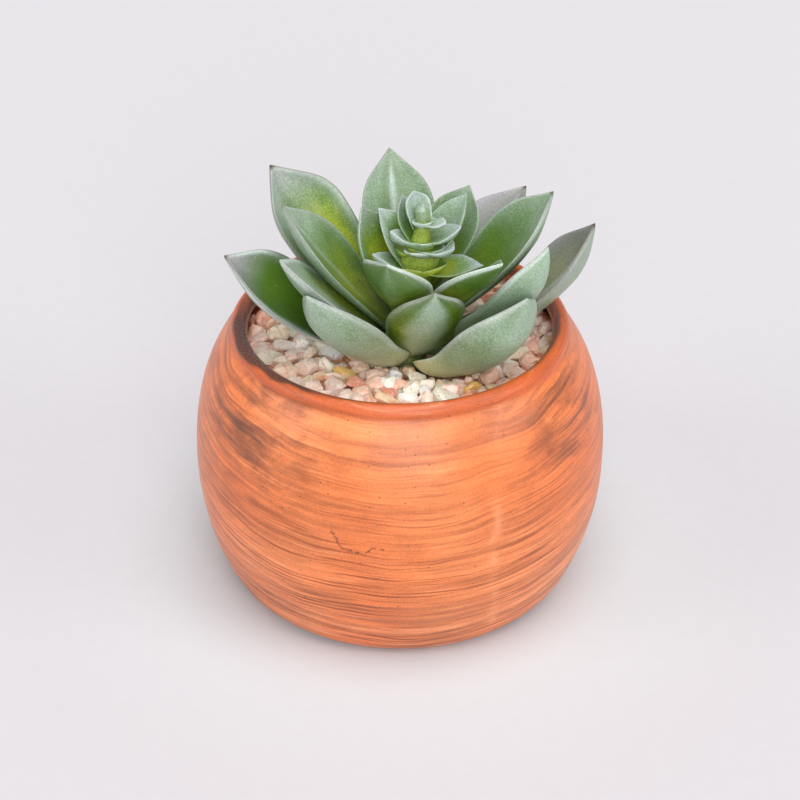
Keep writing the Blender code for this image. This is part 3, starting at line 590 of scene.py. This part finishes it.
# Waxy succulent skin: green flesh that shows through thin parts, under a pale bloom of wax that
# is rubbed at random, mauve where the sun caught the tips. Satin, with a soft broad highlight.
def leafMaterial(name, colours):
    made, add, shader, place = newMaterial(name)
    paint = add("Attribute", attribute_name="leafPaint")
    marks = add("Attribute", attribute_name="leafMarks")
    # the wax breaks up in 6 mm clouds and in grains 0.4 mm wide, as coarse as they need to show
    cloud = add("TexNoise", (place, 1 / 0.006, 3, 0.6))
    grain = add("TexNoise", (place, 1 / 0.0004, 2, 0.6))
    both = add("Math", (cloud, grain), operation="ADD")
    uneven = add("MapRange", (both, 0.6, 1.4, -1.6, 1.6), clamp=False)
    # shares are shaken most where they are near a half, so plain areas stay plain
    rest = add("VectorMath", ((1, 1, 1), paint), operation="SUBTRACT")
    between = add("VectorMath", (paint, rest), **times)
    shaken = add("VectorMath", (between, uneven), **scaled)
    summed = add("VectorMath", (paint, shaken), operation="ADD")
    shares = add("SeparateXYZ", (summed,))
    spots = add("SeparateColor", (marks,))

    # pale specks, and a few brown ones: cells of 1.5 mm with a dot of 0.25 mm
    cells = add("TexVoronoi", (place, 1 / 0.0015))
    chosen = add("SeparateColor", (cells.outputs["Color"],))
    dot = add("MapRange", (cells.outputs["Distance"], 0.14, 0.05), **smooth)
    some = add("Math", (chosen.outputs[0], 0.72), operation="GREATER_THAN")
    speck = add("Math", (dot, some), **times)
    speckPart = add("Math", (speck, 0.4), **times)
    few = add("Math", (chosen.outputs[1], 0.008), operation="LESS_THAN")
    fleck = add("Math", (dot, few), **times)

    # deep is partly painted shade, and glow is painted light shining through the flesh
    colour = add("Mix", (shares.outputs[0], colours["flesh"], colours["deep"]), **rgba)
    # the rim colour carries the pale margins and the painted highlights of the rims and creases
    layers = ((shares.outputs[1], colours["glow"]), (shares.outputs[2], colours["wax"]),
        (paint.outputs["Alpha"], colours["blush"]), (spots.outputs[2], colours["foot"]),
        (marks.outputs["Alpha"], colours["rim"]), (spots.outputs[0], colours["rim"]),
        (spots.outputs[1], colours["tip"]), (speckPart, "#C9D2C0"), (fleck, "#4A3F2C"))
    for share, layer in layers:
        colour = add("Mix", (share, colour, layer), **rgba)
    shade = add("MapRange", (grain, 0.25, 0.75, 0.8, 1.2))
    grained = add("VectorMath", (colour, shade), **scaled)
    matt = add("MapRange", (shares.outputs[2], 0, 1, 0.28, 0.4))
    dent = add("Bump", {"Strength": 0.22, "Distance": 0.00008, "Height": both})
    setInputs(shader, {"Base Color": grained, "Roughness": matt, "IOR": 1.45, "Normal": dent,
        "Subsurface Weight": 0.12, "Subsurface Radius": (0.8, 1, 0.3), "Subsurface Scale": 0.0025})
    return made


# In both skins deep is partly painted shade, and glow is painted light shining through the flesh
# In both skins rim is pale wax partly brightened as a painted highlight, and it is also the creases' painted
# highlight
grownSkin = leafMaterial("waxyLeafSkin", dict(flesh="#547832", deep="#436610", glow="#AEBA2C", wax="#98AE98",
    blush="#9C949E", foot="#CCC690", rim="#CAD6D0", tip="#4E3B32"))
youngSkin = leafMaterial("waxyYoungSkin", dict(flesh="#5C8432", deep="#37611A", glow="#A8B436", wax="#A6B9AE",
    blush="#B9BEC9", foot="#A3A95A", rim="#D3DDDC", tip="#8F938C"))


def addLeaf(name, leaf, rings, sides, finish, slot, node):
    rows, share, across, face = leafRings(leaf, rings, sides)
    mesh = surfaceOf(name, rows)
    shares, marks = leafPaint(leaf, share, across, face)
    attach(mesh, "leafPaint", shares)
    attach(mesh, "leafMarks", marks)
    addPiece(name, mesh, finish, slot, node)
    return mesh


leafMeshes = []
for name, own in leaves.items():
    node = "leaf_" + name
    leafMeshes.append(addLeaf(node + "_blade", dict(grownLeaf, **own), 60, 44, grownSkin, "leaf", node))
for name, own in crownLeaves.items():
    addLeaf("crown_" + name, dict(youngLeaf, **own), 34, 30, youngSkin, "young_leaf", "stem_crown")


# The stem is a tube along its leaning middle line, with the rings of old leaf scars on it.
def buildStem():
    heights = np.linspace(stem["radii"][0][0], stem["radii"][-1][0], stem["rings"])[:, None]
    turn = np.linspace(0, math.tau, stem["sides"], endpoint=False)
    known = np.array(stem["radii"])
    radius = np.interp(heights, known[:, 0], known[:, 1])
    scars = softNoise(turn / math.tau * 5 + 0 * heights, heights / 1.6 + 40 + 0 * turn, 3, 5)
    radius = radius - 0.15 * ease(0.45, 0.8, scars)
    x = stemX + stem["lean"] * heights + radius * np.cos(turn)
    y = stemY + radius * np.sin(turn)
    z = stemZ + heights + 0 * turn
    mesh = surfaceOf("stem_tube", np.stack([x, y, z], -1) * mm)
    green = ease(-6, 4, heights) + 0 * turn
    zero = 0 * green
    attach(mesh, "leafPaint", np.stack([0.05 + 0.35 * scars, 0.6 * green, 0.06 * green, zero], -1))
    attach(mesh, "leafMarks", np.stack([zero, 0.6 * (1 - green), zero, zero], -1))
    addPiece("stem_tube", mesh, youngSkin, "young_leaf", "stem_crown")


buildStem()
print("plant made:", len(leaves), "leaves and", len(crownLeaves), "in the crown")

# Gravel: two layers of tumbled stones on a bed of their own dust, darkened as painted shade between them
gravel = dict(
    soilTop=56, gap=0.3, rim=61.2, dip=2.6, dipRadius=18, steps=96,
    size=(4.8, 8.8), smallest=2.4, stoneDip=1.3, stemHole=3.6, stemClear=3.9, top=64.35,
    tries=9000, spacing=0.72, seed=11, cuts=7, lumps=2.2, lumpDepth=0.8,
    # shares of a stone's size: its middle over the bed, its reach to the wall and up to the top
    sits=0.22, toWall=0.42, toTop=0.4, fits=2.2,  # fits is its largest size over the free radius
    stretch=((1.0, 1.3), (0.75, 1.0), (0.6, 0.85)),  # of a stone's length, width and height
    layers=((-1.3, 0.3), (0.1, 0.0)),  # height of a stone's middle over the bed, and extra sinking
)
stoneTints = (  # colour and how common it is
    ("#FFEBDA", 8), ("#FFDCC2", 8), ("#FDC0A8", 8), ("#FFD3C4", 9), ("#F9CCA8", 4), ("#F3C878", 1),
    ("#E8DCD2", 1), ("#E4947A", 3), ("#FFF4EC", 2),
)


# Height of the bed: level at the wall, with a smooth dip round the stem.
def bedHeight(x, y, dip):
    near = np.hypot(x - stemX, y - stemY) / gravel["dipRadius"]
    return gravel["rim"] - dip * (1 - ease(0, 1, near))


# The bed is a ring-shaped slab: rings run from the stem's hole outwards over the lumpy top,
# down the wall and back along the underside.
def buildBed(finish):
    turn = np.linspace(0, math.tau, gravel["steps"], endpoint=False)

    def circle(x, y, radius, level):  # a level ring of points
        return np.stack([x + radius * np.cos(turn), y + radius * np.sin(turn), level + 0 * turn], -1)

    bottom, hole = gravel["soilTop"] + gravel["gap"], gravel["stemHole"] + gravel["gap"]
    rings = [circle(stemX + stem["lean"] * (level - stemZ), stemY, hole, level)
        for level in (bottom, gravel["rim"] - gravel["dip"] - 0.4)]
    outer = circle(0, 0, innerRadius(gravel["rim"]) - gravel["gap"], 0)
    for share in np.linspace(0.04, 1, 40):
        ring = rings[1] * (1 - share) + outer * share
        lumps = softNoise(ring[:, 0] / gravel["lumps"] + 40, ring[:, 1] / gravel["lumps"] + 40, 21)
        lumps = gravel["lumpDepth"] * lumps
        ring[:, 2] = bedHeight(ring[:, 0], ring[:, 1], gravel["dip"]) - 0.9 + lumps
        rings.append(ring)
    rings.append(circle(0, 0, innerRadius(bottom) - gravel["gap"], bottom))
    mesh = surfaceOf("gravel_bed", np.array(rings) * mm, loop=True)
    addPiece("gravel_bed", mesh, finish, "gravel", "gravel")


# Middles and sizes of the stones, by seeded throws on the bed, kept where they are clear of the
# wall, the stem, the leaves and the stones of their own layer.
def throwStones():
    points, faces = [], []
    for mesh in leafMeshes:
        faces += [[len(points) + i for i in face.vertices] for face in mesh.polygons]
        points += [vertex.co for vertex in mesh.vertices]
    tree = BVHTree.FromPolygons(points, faces)
    draw = np.random.default_rng(gravel["seed"])
    placed, wall = [], innerRadius(gravel["rim"]) - gravel["gap"]
    small, large = gravel["size"]
    for offset, sink in gravel["layers"]:
        layer = np.zeros((0, 3))
        for _ in range(gravel["tries"]):
            angle, share, toss = draw.random(3)
            size = small + (large - small) * toss ** 1.2
            radius = (wall - gravel["toWall"] * size) * math.sqrt(share)
            x, y = radius * math.cos(math.tau * angle), radius * math.sin(math.tau * angle)
            z = float(bedHeight(x, y, gravel["stoneDip"])) + offset + gravel["sits"] * size - sink
            z = min(z, gravel["top"] - gravel["toTop"] * size)
            stemAway = math.hypot(x - stemX, y - stemY) - gravel["stemClear"]
            leafAway = tree.find_nearest(Vector((x, y, z)) * mm)[3] / mm - 0.1
            size = min(size, gravel["fits"] * stemAway, gravel["fits"] * leafAway)
            if size < gravel["smallest"]:
                continue
            if len(layer) and (np.hypot(layer[:, 0] - x, layer[:, 1] - y)
                    < gravel["spacing"] * (layer[:, 2] + size) / 2).any():
                continue
            layer = np.vstack([layer, (x, y, size)])
            placed.append((x, y, z, size))
    return np.array(placed)


# All stones at once. A cube's grid of 56 points is pushed out to a ball, seven random planes cut
# flats on it, then it is scaled, turned at random and set down in its place.
def buildStones(finish):
    placed = throwStones()
    count, draw = len(placed), np.random.default_rng(gravel["seed"] + 1)
    line = np.linspace(-1, 1, 4)
    lattice = np.array(list(itertools.product(line, repeat=3)))
    ball = lattice[np.abs(lattice).max(1) > 0.99]
    faces = []
    for axis, end, i, j in itertools.product(range(3), (-1, 1), range(3), range(3)):
        u, v = [k for k in range(3) if k != axis]
        corners = []
        for du, dv in ((0, 0), (1, 0), (1, 1), (0, 1)):
            point = np.zeros(3)
            point[axis], point[u], point[v] = end, line[i + du], line[j + dv]
            corners.append(int(np.argmin(((ball - point) ** 2).sum(1))))
        first, second, _, last = ball[corners]
        outward = np.cross(second - first, last - first)[axis] * end > 0
        faces.append(corners if outward else corners[::-1])
    ball = ball * np.sqrt(1 - (ball[:, [1, 2, 0]] ** 2 + ball[:, [2, 0, 1]] ** 2) / 2
        + ball[:, [1, 2, 0]] ** 2 * ball[:, [2, 0, 1]] ** 2 / 3)
    shape = np.repeat(ball[None], count, 0)
    for _ in range(gravel["cuts"]):
        normal = draw.normal(size=(count, 3))
        normal /= np.linalg.norm(normal, axis=1)[:, None]
        level = draw.uniform(0.42, 0.8, count)
        over = np.clip((shape * normal[:, None]).sum(2) - level[:, None], 0, None)
        shape = shape - over[:, :, None] * normal[:, None]
    stretch = np.column_stack([draw.uniform(low, high, count) for low, high in gravel["stretch"]])
    shape = shape * stretch[:, None] * placed[:, 3][:, None, None] / 2
    # a turn about Z, a tilt of up to 34 degrees about X and a second turn about Z
    ranges = ((0, math.tau), (-0.6, 0.6), (0, math.tau))
    first, tilt, second = (draw.uniform(low, high, count) for low, high in ranges)
    zero, one = np.zeros(count), np.ones(count)
    turns = [np.array([[np.cos(angle), -np.sin(angle), zero], [np.sin(angle), np.cos(angle), zero],
        [zero, zero, one]]) for angle in (first, second)]
    rock = np.array([[one, zero, zero], [zero, np.cos(tilt), -np.sin(tilt)],
        [zero, np.sin(tilt), np.cos(tilt)]])
    whole = np.einsum("abn,bcn,cdn->nad", turns[1], rock, turns[0])
    points = np.einsum("nad,nkd->nka", whole, shape) + placed[:, None, :3]
    points[:, :, 2] = np.minimum(points[:, :, 2], gravel["top"])
    index = (np.array(faces)[None] + (np.arange(count) * len(ball))[:, None, None]).reshape(-1, 4)
    mesh = bpy.data.meshes.new("gravel_stones")
    mesh.from_pydata((points.reshape(-1, 3) * mm).tolist(), [], index.tolist())
    weights = np.array([weight for _, weight in stoneTints], float)
    picked = draw.choice(len(stoneTints), count, p=weights / weights.sum())
    tints = np.array([linear(tint) for tint, _ in stoneTints])[picked]
    tints[:, :3] = np.minimum(tints[:, :3] * draw.uniform(1.0, 1.2, (count, 1)), 0.97)
    tints[:, 3] = draw.random(count)
    attach(mesh, "stoneTint", np.repeat(tints[:, None], len(ball), 1))
    mesh.set_sharp_from_angle(angle=math.radians(20))
    addPiece("gravel_stones", mesh, finish, "gravel", "gravel")
    return count


# Tumbled quartz and feldspar gravel: pale, a little translucent, veined, with a soft polish.
def stoneMaterial():
    made, add, shader, place = newMaterial("tumbledPinkGravel")
    tint = add("Attribute", attribute_name="stoneTint")
    # each stone has its own part of the pattern: veins about 1.4 mm apart, mottling 0.8 mm wide
    apart = add("VectorMath", (tint, tint.outputs["Alpha"]), **scaled)
    moved = add("VectorMath", (place, apart), operation="ADD")
    veins = add("TexNoise", {"Vector": moved, "Scale": 1 / 0.0028, "Detail": 3, "Distortion": 1.6})
    mottle = add("TexNoise", (moved, 1 / 0.0008, 3))
    paleMask = add("MapRange", (veins, 0.5, 0.68, 0, 0.75), **smooth)
    paler = add("Mix", (paleMask, tint, "#FFEFE2"), **rgba)
    redMask = add("MapRange", (veins, 0.43, 0.3, 0, 0.6), **smooth)
    redder = add("Mix", (redMask, paler, "#D9805F"), **rgba)
    shade = add("MapRange", (mottle, 0.3, 0.7, 0.9, 1.06))
    mottled = add("VectorMath", (redder, shade), **scaled)
    dent = add("Bump", {"Strength": 0.3, "Distance": 0.0001, "Height": mottle})
    setInputs(shader, {"Base Color": mottled, "Roughness": 0.28, "IOR": 1.54, "Normal": dent,
        "Subsurface Weight": 0.15, "Subsurface Radius": (1, 0.6, 0.4), "Subsurface Scale": 0.0012})
    return made


# Stone dust and broken grains between the stones, rough, darkened as painted shade in the gaps.
def dustAndShadeMaterial():
    made, add, shader, place = newMaterial("gravelDustAndShade")
    grains = add("TexVoronoi", (place, 1 / 0.0009))
    height = grains.outputs["Distance"]
    # the dark end of the mix is painted shade in the gaps between the stones
    colour = add("Mix", (height, "#EEC2A2", "#B0714E"), **rgba)
    dent = add("Bump", {"Strength": 0.8, "Distance": 0.0004, "Height": height})
    setInputs(shader, {"Base Color": colour, "Roughness": 0.85, "Normal": dent})
    return made


buildBed(dustAndShadeMaterial())
stoneCount = buildStones(stoneMaterial())
print("gravel made:", stoneCount, "stones")


# Dark potting mix of peat and bark: brown-black crumbs with pale fibres, quite matt.
def soilMaterial():
    made, add, shader, place = newMaterial("darkPottingMix")
    crumbs = add("TexVoronoi", (place, 1 / 0.0016))
    speck = add("SeparateColor", (crumbs.outputs["Color"],))
    colour = add("Mix", (speck.outputs[0], "#2C2019", "#54402F"), **rgba)
    bark = add("Math", (speck.outputs[1], 0.93), operation="GREATER_THAN")
    flecked = add("Mix", (bark, colour, "#8A6B4C"), **rgba)
    dent = add("Bump", {"Strength": 0.9, "Distance": 0.0006, "Height": crumbs.outputs["Distance"]})
    setInputs(shader, {"Base Color": flecked, "Roughness": 0.95, "Normal": dent})
    return made


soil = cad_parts["soil"]
potting = soilMaterial()
for slot in soil.material_slots:
    slot.material = potting


# Studio: a wide seamless sheet, soft lights from above, in front and both sides
studio = dict(
    # nearFloor is painted cooler near the pot, to cancel the orange light that the pot throws on the paper
    floor="#CAC8CB", nearFloor="#CBCFD2", near=(0.045, 0.1),  # the paper is tinted against the pot's glow
    air="#E6E4E7", airStrength=0.6,
    lights=dict(  # where each one aims, its strength and its softness in degrees
        top=((-0.1, 0.22, -0.95), 1.75, 45), front=((-0.1, 0.88, -0.46), 1.45, 36),
        left=((0.85, 0.3, -0.4), 0.6, 30), right=((-0.85, 0.35, -0.4), 0.65, 30),
    ),
)


def buildFloor():
    made, add, shader, place = newMaterial("seamlessPaper")
    fibre = add("TexNoise", (place, 1 / 0.004, 4))
    shade = add("MapRange", (fibre, 0.3, 0.7, 0.992, 1.008))
    away = add("VectorMath", (place,), operation="LENGTH")
    low, high = studio["near"]
    far = add("MapRange", (away.outputs["Value"], low, high), **smooth)
    # near the pot the paper is painted cooler, to cancel the pot's orange bounce light
    paper = add("Mix", (far, studio["nearFloor"], studio["floor"]), **rgba)
    tinted = add("VectorMath", (paper, shade), **scaled)
    setInputs(shader, {"Base Color": tinted, "Roughness": 0.9, "Specular IOR Level": 0.2})
    mesh = bpy.data.meshes.new("studioFloor")
    mesh.from_pydata([(-6, -6, 0), (6, -6, 0), (6, 6, 0), (-6, 6, 0)], [], [(0, 1, 2, 3)])
    mesh.materials.append(made)
    newObject("studioFloor", mesh)


def addSun(name, aim, strength, softness):
    lamp = bpy.data.lights.new(name, "SUN")
    lamp.energy, lamp.angle = strength, math.radians(softness)
    newObject(name, lamp).rotation_euler = Vector(aim).to_track_quat("-Z", "Y").to_euler()


def buildStudio():
    buildFloor()
    world = bpy.data.worlds.new("paleRoom")
    world.use_nodes = True
    sky = {"Color": studio["air"], "Strength": studio["airStrength"]}
    setInputs(world.node_tree.nodes["Background"], sky)
    bpy.context.scene.world = world
    for name, light in studio["lights"].items():
        addSun(name + "Light", *light)
    bpy.context.scene.view_settings.view_transform = "Standard"


# The camera looks down 33 degrees at a point 45.3 mm up the axis from 488 mm away.
def placeCamera():
    view = dict(target=45.3, distance=488, pitch=33, lens=90)
    lens = bpy.data.cameras.new("photoView")
    lens.lens, lens.sensor_width = view["lens"], 36
    lens.clip_start, lens.clip_end = 0.01, 30
    camera = newObject("photoView", lens)
    pitch = math.radians(view["pitch"])
    back = Vector((0, -math.cos(pitch), math.sin(pitch)))
    camera.location = Vector((0, 0, view["target"])) * mm + back * view["distance"] * mm
    camera.rotation_euler = (-back).to_track_quat("-Z", "Y").to_euler()
    bpy.context.scene.camera = camera


buildStudio()
placeCamera()
print("studio and camera set")
